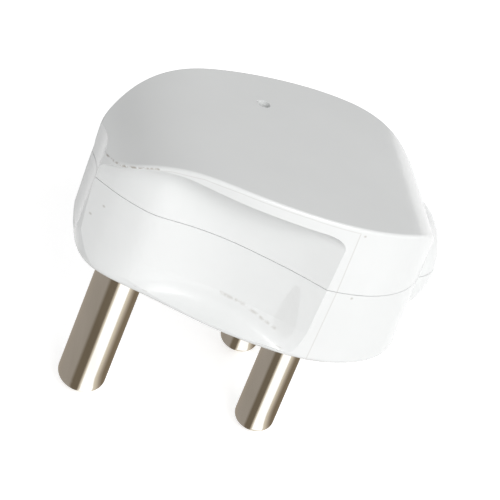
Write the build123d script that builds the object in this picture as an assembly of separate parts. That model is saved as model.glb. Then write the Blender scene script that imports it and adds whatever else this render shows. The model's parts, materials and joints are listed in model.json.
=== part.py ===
from build123d import *
import math
import os

# Three-pin round-pin plug, millimetres.
# It is drawn with the pin face on z = 0 and the pins pointing down, then stood on its three pin tips.
# In the drawing the cord end points along +X and the earth pin is at -X.

# Contact pins, to the round 16 A pattern
line_spacing = 25.4
earth_distance = 28.6
line_diameter = 7.06
earth_diameter = 8.70
line_length = 20.6
earth_length = 28.6
line_tip_round = 2.3
earth_tip_round = 2.8
pin_clearance = 0.03
collar_width = 1.1
collar_height = 1.6
line_head_diameter = 8.4
earth_head_diameter = 10.0
head_height = 9.0
wire_hole_height = 4.0
line_wire_hole = 3.4
earth_wire_hole = 4.0

# Terminal screws, driven into the pin heads from above
terminal_thread = 3.5
terminal_head = 5.6
terminal_head_height = 2.0
terminal_reach = 3.6

# Outer body: heights above the pin face
parting_height = 15.0
crown_height = 28.8
floor_thickness = 3.0
roof_thickness = 2.5
wall_thickness = 2.3
foot_round = 1.0
rim_round = 0.5

# Half outlines of the body, from the cord end to the nose, as (x, half width)
foot_tail = 21.6
foot_sides = [(19.9, 8.0), (16.0, 15.0), (9.5, 19.8), (1.5, 22.0), (-8.0, 21.2),
              (-18.0, 18.0), (-28.0, 13.3), (-36.6, 8.4)]
foot_nose = -38.6
skirt_height = 5.0
skirt_nose = -40.5
crown_tail = 20.4
crown_sides = [(18.8, 8.2), (15.6, 15.5), (9.5, 21.4), (1.5, 23.9), (-8.0, 23.9),
               (-18.0, 22.0), (-28.0, 18.4), (-37.6, 12.2)]
crown_nose = -40.9

# Side view of the top face, as (x, z): level over the pins, falling to the nose and to the cord end
top_profile = [(-48.0, 13.5), (-42.0, 19.5), (-38.0, 21.9), (-35.0, 24.3), (-31.0, 26.6), (-26.0, 28.0),
               (-20.0, 28.4), (-8.0, 28.4), (4.0, 28.2), (10.0, 27.8), (13.0, 27.1), (16.0, 25.4),
               (19.0, 22.0), (23.0, 15.0)]

# Finger scoops in both long sides, as (x, half width left between them) where the wall starts above the foot
scoop_line = [(3.5, 24.9), (1.0, 23.3), (-0.5, 22.4), (-4.1, 20.4), (-10.6, 17.2), (-18.0, 14.3),
              (-25.9, 12.9), (-30.2, 12.4), (-33.9, 10.4), (-36.6, 8.2), (-38.5, 6.2), (-40.1, 4.4),
              (-42.0, 1.8), (-43.4, 0.3)]
# How far the same wall has leaned out at the scoops' reach, for each of those points
scoop_lean = [1.8, 1.8, 1.8, 1.1, 0.4, 0, 0, 0, 0, 0, 0, 0, 0, 0]
scoop_reach = 33.0
# How far the wall runs out over the foot, for each of those points, and the heights and shares of that run-out
scoop_runout = [0.3, 0.3, 0.4, 1.2, 3.5, 3.9, 1.8, 0.5, 0.5, 0.5, 0.5, 0.5, 0.5, 0.5]
ledge_steps = [(0.8, 1.0), (1.7, 0.55), (3.2, 0.18), (5.5, 0.0)]
# Side view of the scoops' upper limit, as (x, z): just under the top face at the nose, then below a rim
scoop_ceiling = [(-48.0, 12.9), (-42.0, 18.9), (-38.0, 21.3), (-35.0, 23.6), (-31.5, 25.4), (-28.0, 26.1),
                 (-24.0, 26.1), (-20.0, 26.0), (-14.0, 25.9), (-8.0, 25.8), (0.0, 25.6), (12.0, 25.0),
                 (23.0, 22.0)]
scoop_cove = 2.5

# Hollow nose face
nose_face = -39.5
nose_radius = 20.0
nose_start = 0.5
nose_full = 3.0
nose_fade = 0.6

# Cord entry boss and inlet, split by the parting plane
boss_centre_x = 14.4
boss_centre_z = 13.5
boss_half_length = 9.1
boss_half_width = 12.0
boss_half_height = 10.7
inlet_diameter = 8.4
inlet_flare = 1.2
inlet_land_end = 21.6

# Cover fixing screws and their brass inserts
fixing_x = -12.4
fixing_y = 12.2
fixing_thread = 3.0
fixing_head = 5.4
fixing_head_height = 1.9
fixing_recess = 2.9
fixing_length = 18.5
fixing_post = 6.4
insert_diameter = 4.4
insert_length = 6.0
insert_depth = 0.6
top_hole_diameter = 2.5
top_hole_depth = 3.4

# Cord clamp
clamp_x = 12.0
clamp_screw_spacing = 18.0
clamp_post = 6.0
clamp_bar_width = 6.0
clamp_bar_length = 24.0
clamp_bar_thickness = 2.6
clamp_post_top = 17.4
clamp_screw_thread = 3.0
clamp_screw_head = 5.4
clamp_screw_head_height = 1.9
clamp_screw_reach = 8.0
saddle_top = 12.6
saddle_length = 13.0
cord_groove = 7.0

# Small sizes shared by the screws, seats and edges
slot_width = 0.8
slot_depth = 0.9
screw_clearance = 0.05
seat_gap = 0.1
head_room = 0.4
tip_room = 0.8
post_wall = 1.2
seat_ring_height = 2.4
seam_width = 0.12
seam_depth = 0.6
undercut_depth = 0.2
undercut_reach = 0.3
cutter_reach = 60.0


def closed_outline(tail, sides, nose, height):
    """One smooth closed face, symmetric about the X axis, at the given height."""
    near = [(x, -y) for x, y in sides]
    far = [(x, y) for x, y in reversed(sides)]
    points = [(tail, 0)] + near + [(nose, 0)] + far
    return make_face(Spline(*[(x, y, height) for x, y in points], periodic=True))


def inset(sides, distance):
    """Half outline moved inwards along its own normals."""
    moved = []
    for i, (x, y) in enumerate(sides):
        before = sides[max(i - 1, 0)]
        after = sides[min(i + 1, len(sides) - 1)]
        along = math.hypot(after[0] - before[0], after[1] - before[1])
        normal_x = -(after[1] - before[1]) / along
        normal_y = (after[0] - before[0]) / along
        moved.append((x + distance * normal_x, y + distance * normal_y))
    return moved


def below(profile):
    """Everything under a side-view curve, as wide as the whole body."""
    start = (profile[0][0], 0, profile[0][1])
    end = (profile[-1][0], 0, profile[-1][1])
    curve = Spline(*[(x, 0, z) for x, z in profile])
    floor = Polyline(end, (end[0], 0, -cutter_reach), (start[0], 0, -cutter_reach), start)
    return extrude(make_face([curve, floor]), amount=cutter_reach, dir=(0, 1, 0), both=True)


def lowered(profile, drop):
    """The same side-view curve, lower down."""
    return [(x, z - drop) for x, z in profile]


def round_bar(x, y, low, high, diameter):
    """Upright round bar between two heights."""
    return Pos(x, y, (low + high) / 2) * Cylinder(diameter / 2, high - low)


def block(x_low, x_high, y_low, y_high, z_low, z_high):
    """Plain block between three pairs of planes."""
    centre = Pos((x_low + x_high) / 2, (y_low + y_high) / 2, (z_low + z_high) / 2)
    return centre * Box(x_high - x_low, y_high - y_low, z_high - z_low)


def bar_along_x(x_low, x_high, y, z, diameter):
    """Round bar along X."""
    return Pos((x_low + x_high) / 2, y, z) * Rot(0, 90, 0) * Cylinder(diameter / 2, x_high - x_low)


def slotted_screw(x, y, seat, head_diameter, head_height, thread, length, up):
    """Pan-head screw whose head sits on seat. up is 1 for a head above its seat and -1 below it."""
    head = Pos(x, y, seat + up * head_height / 2) * Cylinder(head_diameter / 2, head_height)
    crown = head.edges().filter_by(GeomType.CIRCLE).sort_by(Axis.Z)[-1 if up > 0 else 0]
    head = fillet(crown, head_height * 0.45)
    slot_z = seat + up * (head_height - slot_depth / 2)
    head -= Pos(x, y, slot_z) * Box(head_diameter + 1, slot_width, slot_depth)
    low, high = sorted((seat, seat - up * length))
    return head + round_bar(x, y, low, high, thread)


def outside_face(line, side, height):
    """Face between a half outline and far outside it. side is -1 for the near side and 1 for the far side."""
    inner = [(x, side * y, height) for x, y in line]
    start = inner[0]
    end = inner[-1]
    outer_y = side * cutter_reach
    outside = Polyline(end, (end[0], outer_y, height), (start[0], outer_y, height), start)
    return make_face([Spline(*inner), outside])


def moved_out(line, steps, share):
    """A half outline with each point moved away from the middle by its own step times a share."""
    return [(x, y + share * step) for (x, y), step in zip(line, steps)]


def scoop(side):
    """Cutter for one finger scoop, with its run-out to the foot."""
    wall_foot = ledge_steps[-1][0]
    high_line = moved_out(scoop_line, scoop_lean, 1)
    cutter = loft([outside_face(scoop_line, side, wall_foot), outside_face(high_line, side, scoop_reach)],
                  ruled=True)
    cutter &= below(scoop_ceiling)
    wall = min((face for face in cutter.faces() if face.area > 500), key=lambda face: abs(face.center().Y))
    ceiling = [edge for edge in wall.edges() if edge.length > 30 and edge.center().Z > parting_height]
    cutter = fillet(ceiling, scoop_cove)
    sections = [outside_face(moved_out(scoop_line, scoop_runout, share), side, height)
                for height, share in ledge_steps]
    return cutter + loft(sections)


def nose_hollow():
    """Cutter for the shallow hollow down the nose, fading out above the foot."""
    axis_x = nose_face - nose_radius
    full = round_bar(axis_x, 0, nose_full, cutter_reach, 2 * nose_radius)
    fade = Cone(nose_radius - nose_fade, nose_radius, nose_full - nose_start)
    return full + Pos(axis_x, 0, (nose_start + nose_full) / 2) * fade


def entry_boss():
    """Rounded boss that the cord enters, an egg shape half sunk in the end wall."""
    egg = scale(Sphere(1), by=(boss_half_length, boss_half_width, boss_half_height))
    egg = Pos(boss_centre_x, 0, boss_centre_z) * egg
    return egg & block(boss_centre_x - 1, cutter_reach, -cutter_reach, cutter_reach, 0, cutter_reach)


def outer_body():
    """The whole outside form, before it is hollowed and split."""
    foot = closed_outline(foot_tail, foot_sides, foot_nose, 0)
    crown = closed_outline(crown_tail, crown_sides, crown_nose, crown_height)
    lean = skirt_height / crown_height
    sides = [(x + lean * (top_x - x), y + lean * (top_y - y))
             for (x, y), (top_x, top_y) in zip(foot_sides, crown_sides)]
    tail = foot_tail + lean * (crown_tail - foot_tail)
    skirt = closed_outline(tail, sides, skirt_nose, skirt_height)
    body = loft([foot, skirt, crown], ruled=True)
    body &= below(top_profile)
    top_face = body.faces().sort_by(Axis.Z)[-1]
    body = fillet(top_face.edges(), rim_round)
    foot_face = body.faces().sort_by(Axis.Z)[0]
    body = fillet(foot_face.edges(), foot_round)
    for cutter in (scoop(-1), scoop(1), nose_hollow()):
        body -= cutter
    return body + entry_boss()


def inner_outline(distance, height):
    """Face that follows the body's side walls at a distance inside them."""
    tail_part = [point for point in foot_sides if point[0] > 0]
    sides = inset(tail_part + scoop_line[3:10], distance)
    return closed_outline(foot_tail - distance, sides, nose_face + distance, height)


def cavity():
    """Space inside both shells, from the floor to the roof."""
    space = extrude(inner_outline(wall_thickness, floor_thickness), amount=cutter_reach, dir=(0, 0, 1))
    return space & below(lowered(top_profile, roof_thickness))


def seam():
    """Thin open line around the outside where the shells meet."""
    slab = block(-cutter_reach, cutter_reach, -cutter_reach, cutter_reach,
                 parting_height, parting_height + seam_width)
    kept = extrude(inner_outline(seam_depth, parting_height), amount=seam_width, dir=(0, 0, 1))
    return slab - kept


def inlet():
    """Round hole for the cord with a flared mouth, half in each shell."""
    hole = bar_along_x(clamp_x + clamp_bar_width, cutter_reach, 0, parting_height, inlet_diameter)
    radius = inlet_diameter / 2
    flare = Cone(radius - 2 * inlet_flare, radius + 2 * inlet_flare, 4 * inlet_flare)
    return hole + Pos(inlet_land_end, 0, parting_height) * Rot(0, 90, 0) * flare


# Each pin as (name, x, y, diameter, length, tip round, head diameter, wire hole)
pins = [("earth", -earth_distance, 0, earth_diameter, earth_length, earth_tip_round,
         earth_head_diameter, earth_wire_hole),
        ("neutral", 0, -line_spacing / 2, line_diameter, line_length, line_tip_round,
         line_head_diameter, line_wire_hole),
        ("line", 0, line_spacing / 2, line_diameter, line_length, line_tip_round,
         line_head_diameter, line_wire_hole)]
collar_top = floor_thickness + collar_height
wire_hole_centre = collar_top + wire_hole_height
head_top = collar_top + head_height
clamp_seat = clamp_post_top + clamp_bar_thickness
fixing_places = [("near", -fixing_y), ("far", fixing_y)]
clamp_places = [("near", -clamp_screw_spacing / 2), ("far", clamp_screw_spacing / 2)]


def contact_pin(x, y, diameter, length, tip_round, head_diameter, wire_hole):
    """Solid turned pin: round-ended contact, undercut root, collar on the floor and drilled head."""
    contact = round_bar(x, y, -length, -undercut_reach, diameter)
    tip = contact.edges().filter_by(GeomType.CIRCLE).sort_by(Axis.Z)[0]
    pin = fillet(tip, tip_round)
    pin += round_bar(x, y, -undercut_reach, undercut_reach, diameter - 2 * undercut_depth)
    pin += round_bar(x, y, undercut_reach, floor_thickness, diameter)
    pin += round_bar(x, y, floor_thickness, collar_top, diameter + 2 * collar_width)
    pin += round_bar(x, y, collar_top, head_top, head_diameter)
    pin -= bar_along_x(x - head_diameter, x + head_diameter, y, wire_hole_centre, wire_hole)
    return pin - round_bar(x, y, wire_hole_centre, head_top, terminal_thread + 2 * screw_clearance)


def terminal_screw(x, y):
    """Screw that clamps a wire in a pin head."""
    return slotted_screw(x, y, head_top, terminal_head, terminal_head_height,
                         terminal_thread, terminal_reach, 1)


def base_shell(body, space):
    """Lower shell with the pin face, pin seats, posts and the lower half of the cord inlet."""
    shell = body & block(-cutter_reach, cutter_reach, -cutter_reach, cutter_reach, -1, parting_height)
    shell -= space
    added = []
    cut = []
    ring_top = floor_thickness + seat_ring_height
    for name, x, y, diameter, length, tip_round, head_diameter, wire_hole in pins:
        collar = diameter + 2 * collar_width + 2 * pin_clearance
        added.append(round_bar(x, y, floor_thickness, ring_top, collar + 2 * post_wall))
        cut.append(round_bar(x, y, floor_thickness, ring_top, collar))
        cut.append(round_bar(x, y, -1, floor_thickness, diameter + 2 * pin_clearance))
    for name, y in fixing_places:
        added.append(round_bar(fixing_x, y, floor_thickness, parting_height, fixing_post))
        cut.append(round_bar(fixing_x, y, -1, fixing_recess, fixing_head + 2 * head_room))
        cut.append(round_bar(fixing_x, y, fixing_recess, parting_height, fixing_thread + 2 * screw_clearance))
    half_saddle = saddle_length / 2
    half_bar = clamp_bar_width / 2
    added.append(block(clamp_x - half_bar, clamp_x + half_bar, -half_saddle, half_saddle,
                       floor_thickness, saddle_top))
    thread_end = clamp_seat - clamp_screw_reach - tip_room
    for name, y in clamp_places:
        added.append(round_bar(clamp_x, y, floor_thickness, clamp_post_top, clamp_post))
        cut.append(round_bar(clamp_x, y, thread_end, clamp_post_top, clamp_screw_thread + 2 * screw_clearance))
    cut.append(bar_along_x(clamp_x - clamp_bar_width, clamp_x + clamp_bar_width, 0, parting_height, cord_groove))
    return (shell + added) - cut - inlet()


def cover_shell(body, space):
    """Upper shell with the top face, insert posts and the rings that hold the pins down."""
    shell = body & block(-cutter_reach, cutter_reach, -cutter_reach, cutter_reach,
                         parting_height, cutter_reach)
    shell -= space
    added = []
    cut = []
    ring_foot = head_top + seat_gap
    screw_pocket = head_top + terminal_head_height + tip_room
    for name, x, y, diameter, length, tip_round, head_diameter, wire_hole in pins:
        added.append(round_bar(x, y, ring_foot, crown_height, head_diameter))
        cut.append(round_bar(x, y, ring_foot, screw_pocket, terminal_head + 2 * head_room))
    insert_top = parting_height + insert_depth + insert_length
    for name, y in fixing_places:
        added.append(round_bar(fixing_x, y, parting_height, crown_height, fixing_post))
        cut.append(round_bar(fixing_x, y, parting_height, insert_top, insert_diameter))
    under_roof = below(lowered(top_profile, roof_thickness / 2))
    shell += [post & under_roof for post in added]
    top_of_body = max(z for x, z in top_profile)
    cut.append(round_bar(fixing_x, fixing_y, top_of_body - top_hole_depth, cutter_reach, top_hole_diameter))
    return shell - cut - inlet() - seam()


def brass_insert(y):
    """Threaded insert pressed into a cover post."""
    low = parting_height + insert_depth
    tube = round_bar(fixing_x, y, low, low + insert_length, insert_diameter)
    return tube - round_bar(fixing_x, y, low, low + insert_length, fixing_thread + 2 * screw_clearance)


def fixing_screw(y):
    """Long screw from the pin side into a brass insert."""
    return slotted_screw(fixing_x, y, fixing_recess, fixing_head, fixing_head_height,
                         fixing_thread, fixing_length, -1)


def clamp_bar():
    """Bar with rounded ends and a groove for the cord."""
    half_bar = clamp_bar_width / 2
    half_length = clamp_bar_length / 2
    bar = block(clamp_x - half_bar, clamp_x + half_bar, -half_length, half_length, clamp_post_top, clamp_seat)
    bar = fillet(bar.edges().filter_by(Axis.Z), half_bar * 0.9)
    for name, y in clamp_places:
        bar -= round_bar(clamp_x, y, clamp_post_top, clamp_seat, clamp_screw_thread + 2 * screw_clearance)
    return bar - bar_along_x(clamp_x - clamp_bar_width, clamp_x + clamp_bar_width, 0,
                             parting_height, cord_groove)


def clamp_screw(y):
    """Screw that pulls the clamp bar down onto its post."""
    return slotted_screw(clamp_x, y, clamp_seat, clamp_screw_head, clamp_screw_head_height,
                         clamp_screw_thread, clamp_screw_reach, 1)


def rest_angle():
    """Tilt about Y, in degrees, that brings all three rounded pin tips onto one level floor."""
    earth_flat = earth_diameter / 2 - earth_tip_round
    line_flat = line_diameter / 2 - line_tip_round
    along = earth_distance - earth_flat + line_flat
    down = line_length - earth_length + earth_tip_round - line_tip_round
    drop = earth_tip_round - line_tip_round
    angle = math.asin(drop / math.hypot(along, down)) - math.atan2(down, along)
    return math.degrees(angle)


body = outer_body()
space = cavity()
pieces = {"base_shell": base_shell(body, space), "cover_shell": cover_shell(body, space)}
for name, x, y, diameter, length, tip_round, head_diameter, wire_hole in pins:
    pieces[name + "_pin"] = contact_pin(x, y, diameter, length, tip_round, head_diameter, wire_hole)
    pieces[name + "_terminal_screw"] = terminal_screw(x, y)
for name, y in fixing_places:
    pieces["fixing_screw_" + name] = fixing_screw(y)
    pieces["brass_insert_" + name] = brass_insert(y)
pieces["cord_clamp_bar"] = clamp_bar()
for name, y in clamp_places:
    pieces["cord_clamp_screw_" + name] = clamp_screw(y)

# Stand the plug on its pin tips, centred on the origin
tilt = Rot(0, rest_angle(), 0)
tilted = {name: tilt * piece for name, piece in pieces.items()}
boxes = [piece.bounding_box() for piece in tilted.values()]
low_x = min(box.min.X for box in boxes)
high_x = max(box.max.X for box in boxes)
low_z = min(box.min.Z for box in boxes)
settle = Pos(-(low_x + high_x) / 2, 0, -low_z)

os.makedirs("parts", exist_ok=True)
for name, piece in tilted.items():
    export_step(settle * piece, "parts/" + name + ".step")
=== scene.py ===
import json
import math

import bpy
from mathutils import Matrix, Vector

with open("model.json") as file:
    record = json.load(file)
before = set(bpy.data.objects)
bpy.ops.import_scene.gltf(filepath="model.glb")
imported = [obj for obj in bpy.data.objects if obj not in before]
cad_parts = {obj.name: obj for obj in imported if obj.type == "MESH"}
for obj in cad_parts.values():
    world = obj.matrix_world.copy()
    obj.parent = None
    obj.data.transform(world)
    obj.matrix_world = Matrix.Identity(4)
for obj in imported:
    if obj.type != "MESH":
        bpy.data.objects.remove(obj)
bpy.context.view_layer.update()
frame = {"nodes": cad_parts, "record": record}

nodes = frame["nodes"]
mounts = {mount["name"]: mount for mount in frame["record"]["mounts"]}

# The photograph: a square picture, seen through a long lens. The sensor is in millimetres
PICTURE_WIDTH = 500
FOCAL_PIXELS = 3000
SENSOR_WIDTH = 36.0
CLIP_START = 0.01
CLIP_END = 20

# Camera place in metres from the middle of the line and neutral pins on the pin face, and its
# directions
CAMERA_OFFSET = Vector((-0.0733, -0.4435, 0.2785))
CAMERA_FORWARD = Vector((0.1280, 0.8470, -0.5160))
CAMERA_RIGHT = Vector((0.9918, -0.1067, 0.0708))
# How far the line and neutral mounts lie beyond the pin face
MOUNT_DEPTH = 0.009

# Surroundings
FLOOR_SIZE = 6.0
FLOOR_GLOW = 0.60
WORLD_STRENGTH = 0.45
LAMP_PLACE = (0.4, -1.12, 0.66)
LAMP_TARGET = (0, 0, 0.03)
LAMP_SIZE = 0.8
LAMP_POWER = 13.5

# Mould lines, dirt and painted shade along the top edge, as (x, z) in millimetres along the
# plug's own axes
MOULD_LINE = [(1.45, 0.6), (1.45, 15.0), (1.0, 27.2)]
MOULD_WIDTH = 0.16
MOULD_STRENGTH = 0.22
# Painted shade: a thin dark line just under the top edge, where the rim's crease is
RIM_SHADE_LINE = [(-33.0, 24.8), (-31.0, 25.9), (-26.0, 27.3), (-20.0, 27.7), (-8.0, 27.7), (1.0, 27.4)]
RIM_SHADE_WIDTH = 0.14
RIM_SHADE_STRENGTH = 0.16
# Each line as its points, width and strength. The first is painted shade in the crease along the
# nose's top edge, and the other two are dirt
DIRT_AND_SHADE_LINES = [([(-40.4, 20.3), (-38.0, 21.4), (-35.2, 23.6), (-33.0, 25.1)], 0.28, 0.70),
              ([(-15.3, 5.3), (-11.0, 5.2), (-8.0, 4.4), (-5.3, 3.8)], 0.45, 0.30),
              ([(-30.0, 1.2), (-3.0, 1.2)], 0.15, 0.30)]
# Each speck as its place and size
SPECKS = [(1.9, 27.0, 0.30), (4.5, 14.3, 0.34), (-38.9, 8.7, 0.30), (-37.5, 11.5, 0.28)]
SPECK_LENGTH = 0.05
SPECK_STRENGTH = 0.45
# Colour of the dirt, mould lines and specks, and of the painted shade lines along the top edge
DIRT_AND_SHADE_COLOUR = (0.20, 0.14, 0.07)
# The noise that breaks up the dirt lines and the painted shade line at the nose: the level where
# they start, and its contrast
PATCH_LEVEL = 0.42
PATCH_CONTRAST = 6.0
# Marks lie on the near side, where y is below this, and off faces that look up more than this
NEAR_SIDE = -4.0
MARK_TILT = 0.62

# Reflection cards round the pins: radius, height and the colours they show, by share of a turn
CARD_RADIUS = 0.009
CARD_HEIGHT = 0.034
CARD_SIDES = 96
WARM_GREY = (0.42, 0.385, 0.345)
DARK_GREY = (0.20, 0.165, 0.12)
EDGE_BROWN = (0.46, 0.40, 0.33)
LIGHT_TAN = (0.86, 0.79, 0.66)
DARK_BROWN = (0.25, 0.20, 0.14)
# The middle of the turn faces the camera, and a larger share lies to its right
CARD_COLOURS = [(0.0, EDGE_BROWN), (0.30, WARM_GREY), (0.42, WARM_GREY), (0.45, DARK_GREY),
                (0.515, DARK_GREY), (0.53, LIGHT_TAN), (0.67, LIGHT_TAN), (0.71, EDGE_BROWN),
                (0.75, DARK_BROWN), (1.0, DARK_BROWN)]
# The bright part of the turn, its soft edge, and how much brighter it is
CARD_BRIGHT = (0.542, 0.65)
CARD_BRIGHT_EDGE = 0.008
CARD_BRIGHT_COLOUR = (0.97, 0.99, 1.02)
CARD_BRIGHT_BOOST = 0.62
# Towards the axis the bright part fades out between these two radii
CARD_FOOT = (0.0026, 0.0032)
# Height of a card's lower end over the floor
CARD_LIFT = 0.0003


def pin_face_middle():
    """Point on the pin face between the line and neutral pins."""
    neutral = mounts["neutral_contact"]
    middle = (Vector(neutral["pos_m"]) + Vector(mounts["line_contact"]["pos_m"])) / 2
    return middle - Vector(neutral["axis"]) * MOUNT_DEPTH


def new_material(name):
    """New material with its node tree and shader."""
    material = bpy.data.materials.new(name)
    material.use_nodes = True
    return material, material.node_tree, material.node_tree.nodes["Principled BSDF"]


def add_noise(tree, scale, detail, stretch=(1, 1, 1)):
    """Noise in object space, so it stays on the surface in every view."""
    coordinates = tree.nodes.new("ShaderNodeTexCoord")
    mapping = tree.nodes.new("ShaderNodeMapping")
    mapping.inputs["Scale"].default_value = stretch
    noise = tree.nodes.new("ShaderNodeTexNoise")
    noise.inputs["Scale"].default_value = scale
    noise.inputs["Detail"].default_value = detail
    tree.links.new(coordinates.outputs["Object"], mapping.inputs["Vector"])
    tree.links.new(mapping.outputs["Vector"], noise.inputs["Vector"])
    return noise.outputs["Fac"]


def add_ramp(tree, source, stops):
    """Colour ramp on a grey value. stops are (place, colour)."""
    ramp = tree.nodes.new("ShaderNodeValToRGB")
    elements = ramp.color_ramp.elements
    for element, (place, colour) in zip(elements, stops):
        element.position = place
        element.color = (*colour, 1)
    for place, colour in stops[2:]:
        elements.new(place).color = (*colour, 1)
    tree.links.new(source, ramp.inputs["Fac"])
    return ramp.outputs["Color"]


def add_bump(tree, shader, height, distance, strength):
    """Fine relief from a grey value."""
    bump = tree.nodes.new("ShaderNodeBump")
    bump.inputs["Distance"].default_value = distance
    bump.inputs["Strength"].default_value = strength
    tree.links.new(height, bump.inputs["Height"])
    tree.links.new(bump.outputs["Normal"], shader.inputs["Normal"])


def add_math(tree, operation, first, second=None, clamp=False):
    """Math node. Each input is a socket or a number."""
    node = tree.nodes.new("ShaderNodeMath")
    node.operation = operation
    node.use_clamp = clamp
    for i, value in enumerate((first, second)):
        if value is None:
            continue
        if isinstance(value, (int, float)):
            node.inputs[i].default_value = value
        else:
            tree.links.new(value, node.inputs[i])
    return node.outputs[0]


def add_colour_mix(tree, factor, source, colour):
    """Mix from the source's colour to a fixed colour."""
    mix = tree.nodes.new("ShaderNodeMix")
    mix.data_type = "RGBA"
    mix.inputs["B"].default_value = (*colour, 1)
    tree.links.new(factor, mix.inputs["Factor"])
    tree.links.new(source, mix.inputs["A"])
    return mix.outputs["Result"]


def separate(tree, vector):
    """The x, y and z of a vector."""
    apart = tree.nodes.new("ShaderNodeSeparateXYZ")
    tree.links.new(vector, apart.inputs["Vector"])
    return apart.outputs["X"], apart.outputs["Y"], apart.outputs["Z"]


def plug_coordinates(tree):
    """Coordinates in millimetres along the plug's own axes, with the pin face on z = 0."""
    coordinates = tree.nodes.new("ShaderNodeTexCoord")
    turned = tree.nodes.new("ShaderNodeMapping")
    turned.vector_type = "TEXTURE"
    turned.inputs["Location"].default_value = pin_face_middle()
    down = mounts["neutral_contact"]["axis"]
    turned.inputs["Rotation"].default_value = (0, math.atan2(-down[0], -down[2]), 0)
    turned.inputs["Scale"].default_value = (0.001, 0.001, 0.001)
    tree.links.new(coordinates.outputs["Object"], turned.inputs["Vector"])
    return separate(tree, turned.outputs["Vector"])


def side_line(tree, x, z, start, end, width):
    """1 on a line that is drawn in the side view from start to end, and 0 from width away."""
    (start_x, start_z), (end_x, end_z) = start, end
    along_x, along_z = end_x - start_x, end_z - start_z
    squared = along_x ** 2 + along_z ** 2
    from_x = add_math(tree, "SUBTRACT", x, start_x)
    from_z = add_math(tree, "SUBTRACT", z, start_z)
    share = add_math(tree, "ADD", add_math(tree, "MULTIPLY", from_x, along_x / squared),
                     add_math(tree, "MULTIPLY", from_z, along_z / squared), clamp=True)
    off_x = add_math(tree, "SUBTRACT", from_x, add_math(tree, "MULTIPLY", share, along_x))
    off_z = add_math(tree, "SUBTRACT", from_z, add_math(tree, "MULTIPLY", share, along_z))
    distance = add_math(tree, "SQRT", add_math(tree, "ADD",
                                               add_math(tree, "MULTIPLY", off_x, off_x),
                                               add_math(tree, "MULTIPLY", off_z, off_z)))
    return add_math(tree, "SUBTRACT", 1.0, add_math(tree, "DIVIDE", distance, width), clamp=True)


def side_path(tree, x, z, points, width):
    """The same for a line with several points."""
    mask = None
    for start, end in zip(points, points[1:]):
        part = side_line(tree, x, z, start, end, width)
        mask = part if mask is None else add_math(tree, "MAXIMUM", mask, part)
    return mask


def side_marks(tree):
    """Strength of the mould lines, dirt lines, specks and painted shade lines along the top edge,
    on the near side.
    """
    x, y, z = plug_coordinates(tree)
    broken = add_math(tree, "SUBTRACT", add_noise(tree, 900, 2), PATCH_LEVEL)
    patchy = add_math(tree, "MULTIPLY", broken, PATCH_CONTRAST, clamp=True)
    mould = add_math(tree, "MULTIPLY", side_path(tree, x, z, MOULD_LINE, MOULD_WIDTH),
                     MOULD_STRENGTH)
    # Painted shade: a thin dark line just under the top edge, where the rim's crease is
    rim = add_math(tree, "MULTIPLY", side_path(tree, x, z, RIM_SHADE_LINE, RIM_SHADE_WIDTH), RIM_SHADE_STRENGTH)
    marks = add_math(tree, "MAXIMUM", mould, rim)
    # Dirt lines, the first of them painted shade along the nose's top edge
    for points, width, strength in DIRT_AND_SHADE_LINES:
        line = add_math(tree, "MULTIPLY", side_path(tree, x, z, points, width), patchy)
        marks = add_math(tree, "MAXIMUM", marks, add_math(tree, "MULTIPLY", line, strength))
    for place_x, place_z, size in SPECKS:
        spot = side_line(tree, x, z, (place_x, place_z), (place_x + SPECK_LENGTH, place_z), size)
        marks = add_math(tree, "MAXIMUM", marks,
                         add_math(tree, "MULTIPLY", spot, SPECK_STRENGTH))
    marks = add_math(tree, "MULTIPLY", marks, add_math(tree, "LESS_THAN", y, NEAR_SIDE))
    normal = tree.nodes.new("ShaderNodeNewGeometry").outputs["Normal"]
    upward = separate(tree, normal)[2]
    return add_math(tree, "MULTIPLY", marks, add_math(tree, "LESS_THAN", upward, MARK_TILT))


def white_plastic():
    """Glossy moulded white plastic with mould lines, faint unevenness, a little dirt and painted
    shade along the top edge.
    """
    material, tree, shader = new_material("white_plastic")
    shader.inputs["Roughness"].default_value = 0.24
    shader.inputs["IOR"].default_value = 1.5
    shader.inputs["Coat Weight"].default_value = 0.25
    shader.inputs["Coat Roughness"].default_value = 0.12
    clean = add_ramp(tree, add_noise(tree, 60, 3),
                     [(0.3, (0.775, 0.785, 0.780)), (0.7, (0.80, 0.81, 0.805))])
    # Dirt, mould lines, specks and painted shade along the top edge, mixed into the plastic's
    # colour
    stained_and_shaded = add_colour_mix(tree, side_marks(tree), clean, DIRT_AND_SHADE_COLOUR)
    tree.links.new(stained_and_shaded, shader.inputs["Base Color"])
    add_bump(tree, shader, add_noise(tree, 90, 1), 0.00005, 0.25)
    return material


def matt_plastic():
    """Matt moulded plastic for the inner clamp."""
    material, tree, shader = new_material("matt_plastic")
    shader.inputs["Roughness"].default_value = 0.55
    colour = add_ramp(tree, add_noise(tree, 150, 4),
                      [(0.3, (0.70, 0.70, 0.68)), (0.7, (0.76, 0.76, 0.74))])
    tree.links.new(colour, shader.inputs["Base Color"])
    return material


def metal(name, dark, light, roughness, stretch):
    """Metal with fine streaks. dark and light are its two colours."""
    material, tree, shader = new_material(name)
    shader.inputs["Metallic"].default_value = 1.0
    shader.inputs["Roughness"].default_value = roughness
    colour = add_ramp(tree, add_noise(tree, 400, 3, stretch), [(0.3, dark), (0.7, light)])
    tree.links.new(colour, shader.inputs["Base Color"])
    return material


def dress(material, *names):
    """Give CAD nodes a material."""
    for name in names:
        mesh = nodes[name].data
        mesh.materials.clear()
        mesh.materials.append(material)


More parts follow.
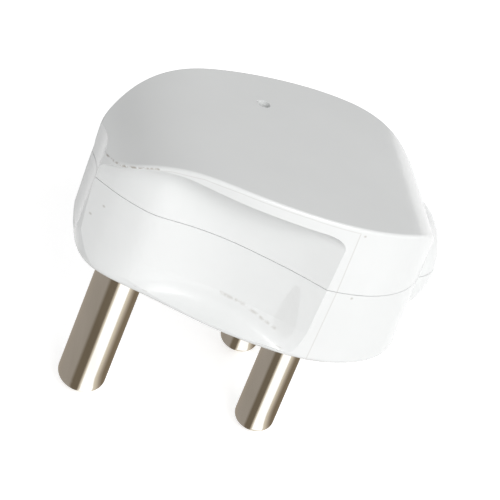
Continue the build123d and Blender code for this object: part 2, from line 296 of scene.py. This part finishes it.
def add_floor():
    """Pale floor that the camera sees as white, with the plug's own shadow on it."""
    bpy.ops.mesh.primitive_plane_add(size=FLOOR_SIZE, location=(0, 0, 0))
    floor = bpy.context.object
    floor.name = "floor"
    material, tree, shader = new_material("floor_paper")
    shader.inputs["Base Color"].default_value = (0.86, 0.86, 0.86, 1)
    shader.inputs["Roughness"].default_value = 0.9
    shader.inputs["Specular IOR Level"].default_value = 0.0
    shader.inputs["Emission Color"].default_value = (1, 1, 1, 1)
    ray = tree.nodes.new("ShaderNodeLightPath").outputs
    seen = add_math(tree, "MAXIMUM", ray["Is Camera Ray"], ray["Is Glossy Ray"])
    seen = add_math(tree, "MAXIMUM", seen, ray["Is Transmission Ray"])
    glow = add_math(tree, "MULTIPLY", seen, FLOOR_GLOW)
    tree.links.new(glow, shader.inputs["Emission Strength"])
    floor.data.materials.append(material)


def card_material():
    """Card that shows its inside only, in bands round its axis, with one bright one."""
    material, tree, shader = new_material("reflection_card")
    tree.nodes.remove(shader)
    place = tree.nodes.new("ShaderNodeTexCoord").outputs["Object"]
    turn = tree.nodes.new("ShaderNodeTexGradient")
    turn.gradient_type = "RADIAL"
    tree.links.new(place, turn.inputs["Vector"])
    colours = add_ramp(tree, turn.outputs["Fac"], CARD_COLOURS)
    white, black = (1, 1, 1), (0, 0, 0)
    start, end = CARD_BRIGHT
    bright = add_ramp(tree, turn.outputs["Fac"],
                      [(0.0, black), (start - CARD_BRIGHT_EDGE, black), (start, white),
                       (end, white), (end + CARD_BRIGHT_EDGE, black)])
    x, y = separate(tree, place)[:2]
    flat = tree.nodes.new("ShaderNodeCombineXYZ")
    tree.links.new(x, flat.inputs["X"])
    tree.links.new(y, flat.inputs["Y"])
    radius = tree.nodes.new("ShaderNodeVectorMath")
    radius.operation = "LENGTH"
    tree.links.new(flat.outputs[0], radius.inputs[0])
    away = tree.nodes.new("ShaderNodeMapRange")
    away.inputs["From Min"].default_value, away.inputs["From Max"].default_value = CARD_FOOT
    tree.links.new(radius.outputs["Value"], away.inputs["Value"])
    kept = add_math(tree, "MULTIPLY", bright, away.outputs["Result"])
    boost = add_math(tree, "MULTIPLY", kept, CARD_BRIGHT_BOOST)
    glow = tree.nodes.new("ShaderNodeEmission")
    tree.links.new(add_colour_mix(tree, kept, colours, CARD_BRIGHT_COLOUR), glow.inputs["Color"])
    tree.links.new(add_math(tree, "ADD", boost, 1.0), glow.inputs["Strength"])
    geometry = tree.nodes.new("ShaderNodeNewGeometry")
    nothing = tree.nodes.new("ShaderNodeBsdfTransparent")
    mix = tree.nodes.new("ShaderNodeMixShader")
    tree.links.new(geometry.outputs["Backfacing"], mix.inputs["Fac"])
    tree.links.new(glow.outputs[0], mix.inputs[1])
    tree.links.new(nothing.outputs[0], mix.inputs[2])
    tree.links.new(mix.outputs[0], tree.nodes["Material Output"].inputs["Surface"])
    return material


def add_pin_card(name, material, mount, camera_place):
    """Round card about one pin, seen only in reflections, turned towards the camera's place."""
    axis = -Vector(mount["axis"])
    foot = Vector(mount["pos_m"])
    foot -= axis * (foot.z / axis.z)
    towards = camera_place - foot
    towards = (towards - axis * towards.dot(axis)).normalized()
    across = axis.cross(towards)
    low_ring = []
    high_ring = []
    for i in range(CARD_SIDES):
        angle = 2 * math.pi * i / CARD_SIDES
        x = CARD_RADIUS * math.cos(angle)
        y = CARD_RADIUS * math.sin(angle)
        rise = (towards * x + across * y).z
        low_ring.append((x, y, (CARD_LIFT - rise) / axis.z))
        high_ring.append((x, y, CARD_HEIGHT))
    points = low_ring + high_ring + [(0, 0, CARD_LIFT / axis.z)]
    faces = []
    for i in range(CARD_SIDES):
        after = (i + 1) % CARD_SIDES
        faces.append((i, i + CARD_SIDES, after + CARD_SIDES, after))
        faces.append((i, after, 2 * CARD_SIDES))
    mesh = bpy.data.meshes.new(name)
    mesh.from_pydata(points, [], faces)
    mesh.materials.append(material)
    card = bpy.data.objects.new(name, mesh)
    turn = Matrix((towards, across, axis)).transposed()
    card.matrix_world = Matrix.Translation(foot) @ turn.to_4x4()
    for ray in ("camera", "diffuse", "transmission", "volume_scatter", "shadow"):
        setattr(card, "visible_" + ray, False)
    bpy.context.scene.collection.objects.link(card)


def add_lamp():
    """Square soft lamp that faces the plug."""
    light = bpy.data.lights.new("key_lamp", "AREA")
    light.shape = "SQUARE"
    light.size = LAMP_SIZE
    light.energy = LAMP_POWER
    lamp = bpy.data.objects.new("key_lamp", light)
    lamp.location = LAMP_PLACE
    beam = Vector(LAMP_TARGET) - Vector(LAMP_PLACE)
    lamp.rotation_euler = beam.to_track_quat("-Z", "Y").to_euler()
    bpy.context.scene.collection.objects.link(lamp)


def add_world():
    """Even white surroundings."""
    world = bpy.data.worlds.new("studio")
    bpy.context.scene.world = world
    world.use_nodes = True
    tree = world.node_tree
    background = tree.nodes["Background"]
    background.inputs["Color"].default_value = (1, 1, 1, 1)
    path = tree.nodes.new("ShaderNodeLightPath")
    strength = tree.nodes.new("ShaderNodeMix")
    strength.data_type = "FLOAT"
    strength.inputs["A"].default_value = WORLD_STRENGTH
    strength.inputs["B"].default_value = 1.0
    tree.links.new(path.outputs["Is Camera Ray"], strength.inputs["Factor"])
    tree.links.new(strength.outputs["Result"], background.inputs["Strength"])


def add_camera(place):
    """Camera at the photograph's place, in the frame of a square picture."""
    data = bpy.data.cameras.new("camera")
    data.sensor_fit = "HORIZONTAL"
    data.sensor_width = SENSOR_WIDTH
    data.lens = SENSOR_WIDTH * FOCAL_PIXELS / PICTURE_WIDTH
    data.clip_start = CLIP_START
    data.clip_end = CLIP_END
    camera = bpy.data.objects.new("camera", data)
    back = -CAMERA_FORWARD.normalized()
    up = back.cross(CAMERA_RIGHT).normalized()
    right = up.cross(back)
    turn = Matrix((right, up, back)).transposed()
    camera.matrix_world = Matrix.Translation(place) @ turn.to_4x4()
    bpy.context.scene.collection.objects.link(camera)
    bpy.context.scene.camera = camera


for node in nodes.values():
    for face in node.data.polygons:
        face.use_smooth = True

dress(white_plastic(), "base_shell", "cover_shell")
dress(matt_plastic(), "cord_clamp_bar")
dress(metal("nickel_plate", (0.66, 0.63, 0.58), (0.72, 0.69, 0.64), 0.12, (1, 1, 0.1)),
      "earth_pin", "line_pin", "neutral_pin")
dress(metal("turned_brass", (0.70, 0.52, 0.26), (0.80, 0.62, 0.33), 0.28, (1, 1, 0.2)),
      "brass_insert_near", "brass_insert_far")
dress(metal("zinc_steel", (0.55, 0.55, 0.56), (0.66, 0.66, 0.67), 0.3, (1, 1, 1)),
      "earth_terminal_screw", "neutral_terminal_screw", "line_terminal_screw",
      "fixing_screw_near", "fixing_screw_far", "cord_clamp_screw_near", "cord_clamp_screw_far")

add_floor()
add_world()
add_lamp()
camera_place = pin_face_middle() + CAMERA_OFFSET
add_camera(camera_place)
card = card_material()
for contact in ("earth", "neutral", "line"):
    add_pin_card(contact + "_card", card, mounts[contact + "_contact"], camera_place)
bpy.context.scene.view_settings.view_transform = "Standard"
